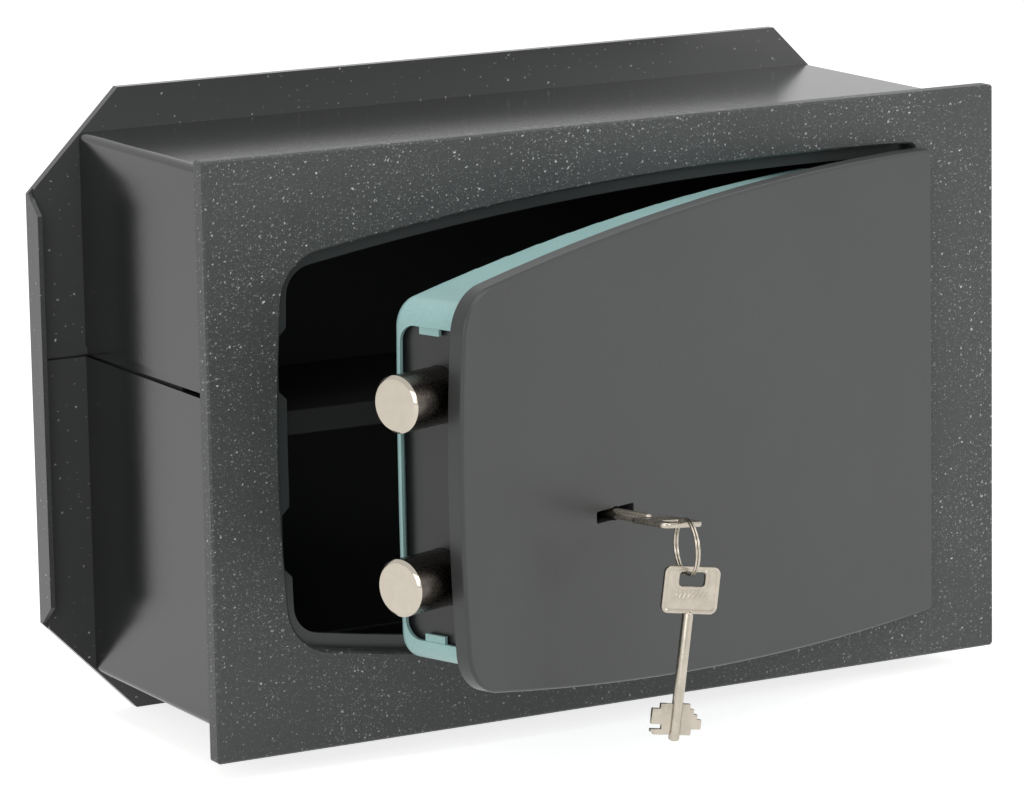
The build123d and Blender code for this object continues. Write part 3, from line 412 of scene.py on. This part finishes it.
def finish(name):
    """The finishes of this safe, each made once from the chosen paints."""
    if name in finishes:
        return finishes[name]
    paints = bpy.context.scene.safe_paints
    wide = paints.fleck_spacing
    pale = paints.fleck_colour
    inner = paints.inside_shade_colour
    dense = (
        (wide, wide * 0.12, 0.3, 1.0),
        (wide * 0.5, wide * 0.085, 0.4, 0.8),
        (wide * 0.22, wide * 0.055, 0.6, 0.45),
    )
    sparse = ((wide * 2, wide * 0.12, 0.5, 0.9), (wide * 0.8, wide * 0.07, 0.3, 0.6))
    if name == "speckled":
        # Two-colour powder coat sprayed on steel plate: charcoal ground with pale grains baked in, low sheen.
        made = powder_coat("speckled_powder_coat", paints.frame_colour, pale, dense, roughness=0.45)
    elif name == "flange":
        # Grained powder coat on the folded back plate: smoother than the frame, with only a few scattered grains.
        made = powder_coat("flange_powder_coat", paints.flange_colour, pale, sparse, roughness=0.3, inner=inner)
    elif name == "body":
        # Smooth black powder coat on folded sheet: nearly black itself, and its grey is the studio it mirrors.
        made = powder_coat("body_powder_coat", paints.body_colour, pale, (), roughness=0.18, inner=inner,
                           rear=(paints.flange_colour, sparse))
    elif name == "plain":
        # The same black coat on a plain bent channel, with a wider, softer sheen.
        made = powder_coat("plain_powder_coat", paints.body_colour, pale, (), roughness=0.35)
    elif name == "inner":
        # Painted shade inside the body: a matt near-black paint on the room's faces stands in for the shade there,
        # so that the room reads as dark.
        made = powder_coat("inside_painted_shade", inner, pale, (), roughness=inner_roughness)
    elif name == "door":
        # Satin anthracite powder coat on thick plate: an even grey with a soft sheen and no grain.
        made = powder_coat("door_powder_coat", paints.door_colour, pale, (), roughness=0.34)
    elif name == "teal":
        # Pale teal stoved enamel on folded sheet: a light, even colour with a clean soft highlight.
        made = powder_coat("teal_enamel", paints.casing_colour, pale, (), roughness=0.34, bump=0.00002)
    elif name == "nickel_key":
        # Nickel on stamped brass, worn by handling: warm grey, bright on the crests and brown in the hollows.
        made = plated_metal("nickel_plated_brass", paints.nickel_colour, 0.3, 0.0006, (1, 1, 0.15), worn=0.85)
    elif name == "nickel_bolt":
        # Nickel on a turned steel bolt's faced end: a clean, warm mirror without visible tool marks.
        made = plated_metal("nickel_plated_steel", paints.nickel_colour, 0.11, 0.0008, (1, 1, 1), bump=0.000003,
                            darker=0.92)
    elif name == "bolt_side":
        # Painted shade: a darker copy of the bolt's nickel on its side stands in for the dark surroundings that it
        # mirrors, with soft blurred reflections.
        made = plated_metal("nickel_with_painted_shade", linear("625c56"), 0.27, 0.0008, (1, 1, 1), bump=0.000003)
    elif name == "wire":
        # Nickel on drawn spring wire: thin bright lines with dark edges.
        made = plated_metal("nickel_plated_wire", paints.nickel_colour, 0.16, 0.001, (1, 1, 1), bump=0.000005)
    elif name == "zinc":
        # Bright zinc on cold-rolled sheet: a cool, slightly cloudy grey.
        made = plated_metal("zinc_plated_sheet", linear("b3b6ba"), 0.34, 0.003, (0.2, 1, 1), darker=0.78)
    elif name == "steel":
        # Turned free-cutting steel: a mid grey with fine rings.
        made = plated_metal("turned_steel", linear("8e8f91"), 0.3, 0.0005, (1, 1, 6), darker=0.85)
    else:
        # Stamped brass levers: a yellow satin metal.
        made = plated_metal("stamped_brass", linear("c9a35c"), 0.32, 0.002, (1, 0.2, 1), darker=0.8)
    finishes[name] = made
    return made


def paint_node(name, look):
    """Give a carried-over node its finish."""
    mesh = frame["nodes"][name].data
    mesh.materials.clear()
    mesh.materials.append(finish(look))


def surface(name, grid, look, wrap_u=False, wrap_v=False, flip=False, smooth=True):
    """A mesh from a grid of points, rows by columns: each cell is a face, and either way may wrap round."""
    rows, columns = grid.shape[:2]
    index = np.arange(rows * columns).reshape(rows, columns)
    if wrap_u:
        index = np.vstack([index, index[:1]])
    if wrap_v:
        index = np.hstack([index, index[:, :1]])
    quads = np.stack([index[:-1, :-1], index[1:, :-1], index[1:, 1:], index[:-1, 1:]], axis=-1).reshape(-1, 4)
    if flip:
        quads = quads[:, ::-1]
    mesh = bpy.data.meshes.new(name)
    mesh.vertices.add(rows * columns)
    mesh.vertices.foreach_set("co", grid.reshape(-1).astype(np.float32))
    mesh.loops.add(quads.size)
    mesh.loops.foreach_set("vertex_index", quads.reshape(-1).astype(np.int32))
    mesh.polygons.add(len(quads))
    mesh.polygons.foreach_set("loop_start", np.arange(0, quads.size, 4, dtype=np.int32))
    mesh.update(calc_edges=True)
    mesh.validate()
    mesh.polygons.foreach_set("use_smooth", np.full(len(mesh.polygons), smooth))
    mesh.materials.append(finish(look))
    piece = bpy.data.objects.new(name, mesh)
    bpy.context.scene.collection.objects.link(piece)
    return piece


def lathe(profile, count=64):
    """A profile of (along, radius) carried round the X axis, as a grid of points."""
    profile = np.asarray(profile)
    angle = np.linspace(0, 2 * math.pi, count, endpoint=False)
    along = np.repeat(profile[:, :1], count, axis=1)
    return np.stack([along, profile[:, 1:] * np.cos(angle), profile[:, 1:] * np.sin(angle)], axis=-1)


def joined(name, pieces):
    """Several surfaces made one piece, with their doubles merged where poles close."""
    bpy.ops.object.select_all(action="DESELECT")
    for piece in pieces:
        piece.select_set(True)
    bpy.context.view_layer.objects.active = pieces[0]
    if len(pieces) > 1:
        bpy.ops.object.join()
    piece = pieces[0]
    piece.name = name
    bpy.ops.object.mode_set(mode="EDIT")
    bpy.ops.mesh.select_all(action="SELECT")
    bpy.ops.mesh.remove_doubles(threshold=0.000002)
    bpy.ops.mesh.normals_make_consistent(inside=False)
    bpy.ops.object.mode_set(mode="OBJECT")
    return piece


def crease(piece, degrees=32):
    """Keep edges sharper than the angle crisp, and shade the rest smooth."""
    bpy.ops.object.select_all(action="DESELECT")
    piece.select_set(True)
    bpy.context.view_layer.objects.active = piece
    bpy.ops.object.shade_smooth_by_angle(angle=math.radians(degrees))


def rounded_box_distance(x, y, half_x, half_y, radius):
    """Signed distance to a rounded rectangle centred on the origin, negative inside."""
    qx = np.abs(x) - half_x + radius
    qy = np.abs(y) - half_y + radius
    outside = np.hypot(np.maximum(qx, 0), np.maximum(qy, 0))
    return outside + np.minimum(np.maximum(qx, qy), 0) - radius


def ray_lengths(distance, angles, reach):
    """How far each ray from the origin runs before a signed distance turns positive, by halving."""
    low = np.zeros_like(angles)
    high = np.full_like(angles, reach)
    for _ in range(40):
        middle = (low + high) / 2
        inside = distance(middle * np.cos(angles), middle * np.sin(angles)) < 0
        low = np.where(inside, middle, low)
        high = np.where(inside, high, middle)
    return (low + high) / 2


def add_bow(sizes):
    """A key's bow, lying flat with its end at minus the key's length along Y.

    Rays from the slot's middle meet the slot's edge and the bow's edge. Points between them, on the front and
    then on the back, make a closed band. Its height is a flat web with a raised rim, rounded off at both edges,
    and a row of short slanting grip ribs."""
    half_x, half_y = sizes.bow_width / 2, sizes.bow_height / 2
    slot_y = -sizes.length + sizes.slot_from_end + sizes.slot_height / 2
    bow_y = -sizes.length + half_y
    shift = bow_y - slot_y
    angles = np.linspace(0, 2 * math.pi, 384, endpoint=False)

    def outer(x, y):
        return rounded_box_distance(x, y - shift, half_x, half_y, bow_corner)

    def slot(x, y):
        return rounded_box_distance(x, y, sizes.slot_width / 2, sizes.slot_height / 2, slot_corner)

    near = ray_lengths(slot, angles, 0.03)[:, None]
    far = ray_lengths(outer, angles, 0.03)[:, None]
    ease = (1 - np.cos(np.linspace(0, math.pi, 56))) / 2
    radius = near + (far - near) * ease[None, :]
    x = radius * np.cos(angles)[:, None]
    y = radius * np.sin(angles)[:, None]
    edge = np.maximum(np.minimum(-outer(x, y), slot(x, y)), 0)
    rim = np.exp(-(((edge - rim_width) / rim_fade) ** 2))
    rim = np.maximum(rim, edge < rim_width)
    row = np.exp(-(((y - shift - rib_row_up) / rib_row_half_height) ** 4))
    row = row * np.exp(-((x / rib_row_half_width) ** 8))
    ribs = row * np.maximum(np.sin((x + rib_slant * (y - shift)) * 2 * math.pi / rib_pitch), 0)
    rounding = np.sqrt(np.clip(1 - (1 - np.minimum(edge / edge_rounding, 1)) ** 2, 0, 1))
    height = (sizes.bow_thickness / 2 - rim_height + rim_height * rim + rib_height * ribs) * rounding
    front = np.stack([x, y + slot_y, height], axis=-1)
    back = np.stack([x, y + slot_y, -height], axis=-1)[:, ::-1]
    return surface("bow", np.concatenate([front, back], axis=1), "nickel_key", wrap_u=True, wrap_v=True)


def add_shank(sizes):
    """The round shank: a profile with a domed tip, carried round its axis, laid along Y."""
    radius = sizes.shank / 2
    start = -(sizes.length - sizes.bow_height) - dome_depth
    turn = np.linspace(0, math.pi / 2, 9)
    dome = np.column_stack([start + dome_depth * (1 - np.cos(turn)), radius * 0.92 * np.sin(turn)])
    blunt = radius * np.cos(turn) * 0.55 + radius * 0.45 * np.cos(turn) ** 0.5
    tip = np.column_stack([-tip_depth + tip_depth * np.sin(turn), blunt])
    # The straight part: its start, and two rows above the bits.
    body = [(start + 0.0016, radius), (-0.020, radius), (-0.0165, radius)]
    grid = lathe(np.vstack([dome, body, tip]), 40)
    grid = np.stack([grid[..., 1], grid[..., 0], grid[..., 2]], axis=-1)
    return surface("shank", grid, "nickel_key", wrap_v=True)


def bit_outlines(sizes):
    """The stepped outlines of the right and left bits, and the thinner strip between the left bit and the shank.

    Each corner is a share of the half width and a depth in metres from the bits' start or end."""
    half = sizes.bit_width / 2
    start = -sizes.bit_from_tip
    end = start - sizes.bit_length
    inner = sizes.shank * 0.2
    step = sizes.shank / 2 + 0.0022
    right = [
        (inner, start), (half * 0.62, start), (half * 0.62, start - 0.0024), (half, start - 0.0024),
        (half, start - 0.0062), (half * 0.82, start - 0.0062), (half * 0.82, start - 0.0082),
        (half * 0.66, start - 0.0082), (half * 0.66, start - 0.0102), (half * 0.5, start - 0.0102),
        (half * 0.5, end), (inner, end),
    ]
    left = [
        (-step, end), (-half * 0.68, end), (-half * 0.68, end + 0.0020), (-half, end + 0.0020),
        (-half, start - 0.0041), (-half * 0.57, start - 0.0041), (-half * 0.57, start - 0.0022),
        (-half, start - 0.0022), (-half, start - 0.0009), (-half * 0.88, start - 0.0009),
        (-half * 0.88, start), (-step, start),
    ]
    strip = [(-inner, end), (-step, end), (-step, start), (-inner, start)]
    return right, left, strip


def add_bit(name, outline, thickness):
    """A flat plate from an outline: two faces joined by a band of walls, its edges broken by a small bevel."""
    flat = np.array(outline)
    count = len(flat)
    front = np.column_stack([flat, np.full(count, thickness / 2)])
    back = np.column_stack([flat, np.full(count, -thickness / 2)])
    ring = np.arange(count)
    after = (ring + 1) % count
    walls = np.column_stack([ring, after, after + count, ring + count])
    mesh = bpy.data.meshes.new(name)
    faces = [ring[::-1].tolist(), (ring + count).tolist()] + walls.tolist()
    mesh.from_pydata(np.vstack([front, back]).tolist(), [], faces)
    mesh.update()
    mesh.materials.append(finish("nickel_key"))
    piece = bpy.data.objects.new(name, mesh)
    bpy.context.scene.collection.objects.link(piece)
    bevel = piece.modifiers.new("broken edges", "BEVEL")
    bevel.width = broken_edge
    bevel.segments = 2
    bevel.limit_method = "ANGLE"
    bpy.context.view_layer.objects.active = piece
    bpy.ops.object.modifier_apply(modifier=bevel.name)
    return piece


def add_flat_key(name, sizes):
    """A whole key lying flat: bow, shank and two bits in one piece."""
    right, left, strip = bit_outlines(sizes)
    parts = [
        add_bow(sizes),
        add_shank(sizes),
        add_bit("right bit", right, sizes.bit_thickness),
        add_bit("left bit", left, sizes.bit_thickness),
        add_bit("groove strip", strip, sizes.bit_thickness - groove_depth),
    ]
    piece = joined(name, parts)
    crease(piece, 40)
    return piece


def place_points(piece, move):
    """Carry a piece's points through a function of an array of points."""
    count = len(piece.data.vertices)
    points = np.empty(count * 3, dtype=np.float32)
    piece.data.vertices.foreach_get("co", points)
    moved = move(points.reshape(-1, 3).astype(float))
    piece.data.vertices.foreach_set("co", np.asarray(moved, dtype=np.float32).reshape(-1))
    piece.data.update()


def turned(points, angle, axis):
    """Points turned about an axis through the origin."""
    return points @ np.array(Matrix.Rotation(angle, 3, axis)).T


def ring_middle():
    """Middle of the split ring with the door shut, from the joint that turns it."""
    return shut(joints["ring_turn"]["pos_m"])


class SAFE_OT_finish_body(bpy.types.Operator):
    """Paint the frame, the shells, the back plate and what is fixed inside the body"""

    bl_idname = "wall_safe.finish_body"
    bl_label = "Finish the body"

    def execute(self, context):
        paint_node("front_frame", "speckled")
        paint_node("back_plate", "flange")
        for name in ("upper_shell", "lower_shell"):
            paint_node(name, "body")
        paint_node("stop_plate", "door")
        # The parts fixed inside the body take the painted shade of the room.
        for name in ("shelf", "left_rail", "right_rail", "upper_hinge_bracket", "lower_hinge_bracket"):
            paint_node(name, "inner")
        paint_node("hinge_pins", "steel")
        return {"FINISHED"}


class SAFE_OT_finish_door(bpy.types.Operator):
    """Paint the door plate, its hinge arms, its casing and the bolt guide"""

    bl_idname = "wall_safe.finish_door"
    bl_label = "Finish the door"

    def execute(self, context):
        for name in ("door_plate", "upper_hinge_arm", "lower_hinge_arm"):
            paint_node(name, "door")
        paint_node("bolt_guide", "plain")
        paint_node("door_casing", "teal")
        for name in ("casing_studs", "casing_screws"):
            paint_node(name, "steel")
        return {"FINISHED"}


class SAFE_OT_finish_lock(bpy.types.Operator):
    """Give the lock's case, drum, levers and spring their metals"""

    bl_idname = "wall_safe.finish_lock"
    bl_label = "Finish the lock"

    def execute(self, context):
        for name in ("lock_case", "lock_cover", "lock_partition", "bolt_bar"):
            paint_node(name, "zinc")
        for name in ("lock_posts", "lever_guides", "lever_spring", "bar_screws", "key_drum"):
            paint_node(name, "steel")
        paint_node("levers", "brass")
        return {"FINISHED"}


class SAFE_OT_build_bolts(bpy.types.Operator):
    """Turn the two round bolts with a broken edge and a flat, lightly faced end"""

    bl_idname = "wall_safe.build_bolts"
    bl_label = "Build the bolts"

    def execute(self, context):
        for name in ("upper_bolt", "lower_bolt"):
            low, high = shut_box(name)
            middle = [low[0], (low[1] + high[1]) / 2, (low[2] + high[2]) / 2]
            end, side = self.bolt_grids(high - low)
            parts = [
                surface("nickel_" + name, end, "nickel_bolt", wrap_v=True),
                # The side takes a darker copy of the nickel: painted shade.
                surface("side", side, "bolt_side", wrap_v=True),
            ]
            piece = joined("nickel_" + name, parts)
            crease(piece, 25)
            place_points(piece, lambda p: opened(p + middle))
            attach(piece, "bolts")
            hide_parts(name)
        return {"FINISHED"}

    def bolt_grids(self, size):
        """Two profiles carried round the bolt's axis.

        One is the flat end with its broken edge, and the other is the side with the inner end."""
        length, radius = size[0], size[2] / 2
        edge, soft, chamfer = bolt_edge, bolt_rounding, bolt_chamfer
        turn = np.linspace(0, math.pi / 4, 4)
        face = np.column_stack([np.full(12, 0.0), np.linspace(0, radius - edge - soft, 12)])
        first = np.column_stack([soft * (1 - np.cos(turn)), radius - edge - soft + soft * np.sin(turn) * 1.41])
        last = np.column_stack([edge + soft * (np.sin(turn) * 1.41 - 1), radius - soft * (1 - np.sin(turn) * 1.41)])
        side = [(edge + chamfer, radius), (length / 2, radius), (length - chamfer, radius),
                (length, radius - chamfer), (length, 0)]
        return lathe(np.vstack([face, first[1:], last]), 96), lathe(np.vstack([last[-1:], side]), 96)


class SAFE_OT_build_keys(bpy.types.Operator):
    """Build the key in the lock and the spare that hangs on the ring"""

    bl_idname = "wall_safe.build_keys"
    bl_label = "Build the keys"

    def execute(self, context):
        sizes = context.scene.safe_key
        ring = context.scene.safe_ring
        tip = np.array([lock_axis[0], door_front - sizes.stick_out + sizes.length, lock_axis[2]])
        lock_key = add_flat_key("nickel_lock_key", sizes)
        place_points(lock_key, lambda p: opened(turned(p, sizes.rest_turn, "Y") + tip))
        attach(lock_key, "key")
        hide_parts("lock_key")

        middle = ring_middle()
        seat = middle + [0, 0, -ring.outer / 2 + ring.wire + sizes.spare_gap]

        def hang(points):
            points = points + [sizes.spare_side, sizes.length - sizes.slot_from_end, 0]
            points = turned(points, math.radians(-90), "X")
            points = turned(points, sizes.spare_tilt, "Y")
            points = turned(points, -ring.skew, "Z")
            return opened(points + seat)

        spare = add_flat_key("nickel_spare_key", sizes)
        place_points(spare, hang)
        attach(spare, "spare")
        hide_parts("spare_key")
        return {"FINISHED"}


class SAFE_OT_build_ring(bpy.types.Operator):
    """Wind the split ring: a round wire carried along a two-turn helix"""

    bl_idname = "wall_safe.build_ring"
    bl_label = "Build the ring"

    def execute(self, context):
        sizes = context.scene.safe_ring
        radius = (sizes.outer - sizes.wire) / 2
        wire = sizes.wire / 2
        turn = np.linspace(0, 4 * math.pi, 193)
        along = sizes.pitch * (turn / (2 * math.pi) - 1)
        section = np.linspace(0, 2 * math.pi, 16, endpoint=False)
        cap = np.sin(np.linspace(0, math.pi / 2, 5))[:-1]
        scale = np.concatenate([cap, np.ones(len(turn) - 8), cap[::-1]])
        out = radius + wire * scale[:, None] * np.cos(section)
        side = along[:, None] + wire * scale[:, None] * np.sin(section)
        grid = np.stack([side, out * np.sin(turn)[:, None], -out * np.cos(turn)[:, None]], axis=-1)
        piece = joined("nickel_split_ring", [surface("nickel_split_ring", grid, "wire", wrap_v=True)])
        crease(piece, 60)
        middle = ring_middle()
        place_points(piece, lambda p: opened(turned(p, -sizes.skew, "Z") + middle))
        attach(piece, "ring")
        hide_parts("key_ring")
        return {"FINISHED"}


class SAFE_OT_add_stage(bpy.types.Operator):
    """Set up the floor, the lamps, the world and the camera"""

    bl_idname = "wall_safe.add_stage"
    bl_label = "Set up the stage"

    def execute(self, context):
        stage = context.scene.safe_stage
        self.add_floor(stage)
        self.add_world(context.scene)
        self.add_lamps(stage)
        self.add_camera(context.scene, stage)
        context.scene.view_settings.view_transform = "Standard"
        return {"FINISHED"}

    def add_floor(self, stage):
        """A wide, level sheet under the safe: a flat grid of two by two points."""
        reach, level = floor_reach, cad_low[2] - floor_gap
        near = [[-reach, -reach, level], [reach, -reach, level]]
        far = [[-reach, reach, level], [reach, reach, level]]
        corners = np.array([near, far])
        material, tree, output, _ = blank_material("studio_floor_paint")
        studio_seen = seeing_rays(tree)
        matte = add_node(tree, "ShaderNodeBsdfDiffuse", {"Color": tuple(stage.floor_colour)})
        lift = add_node(tree, "ShaderNodeMath", {0: studio_seen, 1: floor_glow}, operation="MULTIPLY")
        glow = add_node(tree, "ShaderNodeEmission", {"Strength": lift.outputs[0]})
        both = add_node(tree, "ShaderNodeAddShader", {0: matte.outputs[0], 1: glow.outputs[0]})
        tree.links.new(both.outputs[0], output.inputs["Surface"])
        finishes["floor"] = material
        floor = surface("studio_floor", corners, "floor", flip=True, smooth=False)

    def add_world(self, scene):
        """A white studio to the camera and in reflections, and a plain soft light on everything else."""
        world = bpy.data.worlds.new("studio")
        scene.world = world
        world.use_nodes = True
        tree = world.node_tree
        tree.nodes.clear()
        studio_seen = seeing_rays(tree)
        dim = add_node(tree, "ShaderNodeBackground", {"Color": (1, 1, 1, 1), "Strength": room_light})
        white = add_node(tree, "ShaderNodeBackground", {"Color": (1, 1, 1, 1), "Strength": 1.0})
        shown = add_node(tree, "ShaderNodeMixShader", {0: studio_seen, 1: dim.outputs[0], 2: white.outputs[0]})
        add_node(tree, "ShaderNodeOutputWorld", {"Surface": shown.outputs[0]})

    def add_lamps(self, stage):
        """Soft lamps: the main one at the right in front, one above and a weak one at the left."""
        places = (
            ("right lamp", (1.5, -1.7, 0.75), 0.7, 0.55),
            ("top lamp", (0.0, -1.0, 2.0), 1.6, 0.95),
            ("left lamp", (-1.6, -1.8, 0.7), 1.2, 0.6),
        )
        for name, place, size, share in places:
            data = bpy.data.lights.new(name, "AREA")
            data.shape = "RECTANGLE"
            data.size = data.size_y = size
            data.energy = stage.lamp_power * share
            lamp = bpy.data.objects.new(name, data)
            bpy.context.scene.collection.objects.link(lamp)
            aim = np.array(lamp_target) - np.array(place)
            lamp.location = place
            lamp.rotation_euler = Vector(aim).to_track_quat("-Z", "Y").to_euler()

    def add_camera(self, scene, stage):
        """The photograph's view: a long lens to the left of and above the safe."""
        data = bpy.data.cameras.new("camera")
        data.sensor_width = 36.0
        data.sensor_fit = "HORIZONTAL"
        data.lens = stage.focal_length
        data.clip_end = 100.0
        camera = bpy.data.objects.new("camera", data)
        scene.collection.objects.link(camera)
        right = (0.874017, -0.485584, -0.017387)
        up = (0.108609, 0.160362, 0.981065)
        back = (-0.473601, -0.859356, 0.192898)
        matrix = Matrix((right, up, back)).transposed().to_4x4()
        matrix.translation = (-1.086064, -2.017685, 0.436733)
        camera.matrix_world = matrix
        scene.camera = camera


class SAFE_PT_panel(bpy.types.Panel):
    bl_label = "Wall safe"
    bl_space_type = "VIEW_3D"
    bl_region_type = "UI"
    bl_category = "Safe"

    def draw(self, context):
        for operator in operators:
            self.layout.operator(operator.bl_idname)
        for key, group in groups.items():
            for name in group.__annotations__:
                self.layout.prop(getattr(context.scene, key), name)


operators = (
    SAFE_OT_add_stage,
    SAFE_OT_finish_body,
    SAFE_OT_finish_door,
    SAFE_OT_finish_lock,
    SAFE_OT_build_bolts,
    SAFE_OT_build_keys,
    SAFE_OT_build_ring,
)
groups = {
    "safe_paints": SafePaints,
    "safe_key": SafeKeySizes,
    "safe_ring": SafeRingSizes,
    "safe_stage": SafeStage,
}


def register():
    for name, group in groups.items():
        bpy.utils.register_class(group)
        setattr(bpy.types.Scene, name, bpy.props.PointerProperty(type=group))
    for item in operators + (SAFE_PT_panel,):
        bpy.utils.register_class(item)


def unregister():
    for item in reversed(operators + (SAFE_PT_panel,)):
        bpy.utils.unregister_class(item)
    for name, group in groups.items():
        delattr(bpy.types.Scene, name)
        bpy.utils.unregister_class(group)


def main():
    register()
    for operator in operators:
        area, name = operator.bl_idname.split(".")
        getattr(getattr(bpy.ops, area), name)()


if __name__ == "__main__":
    main()
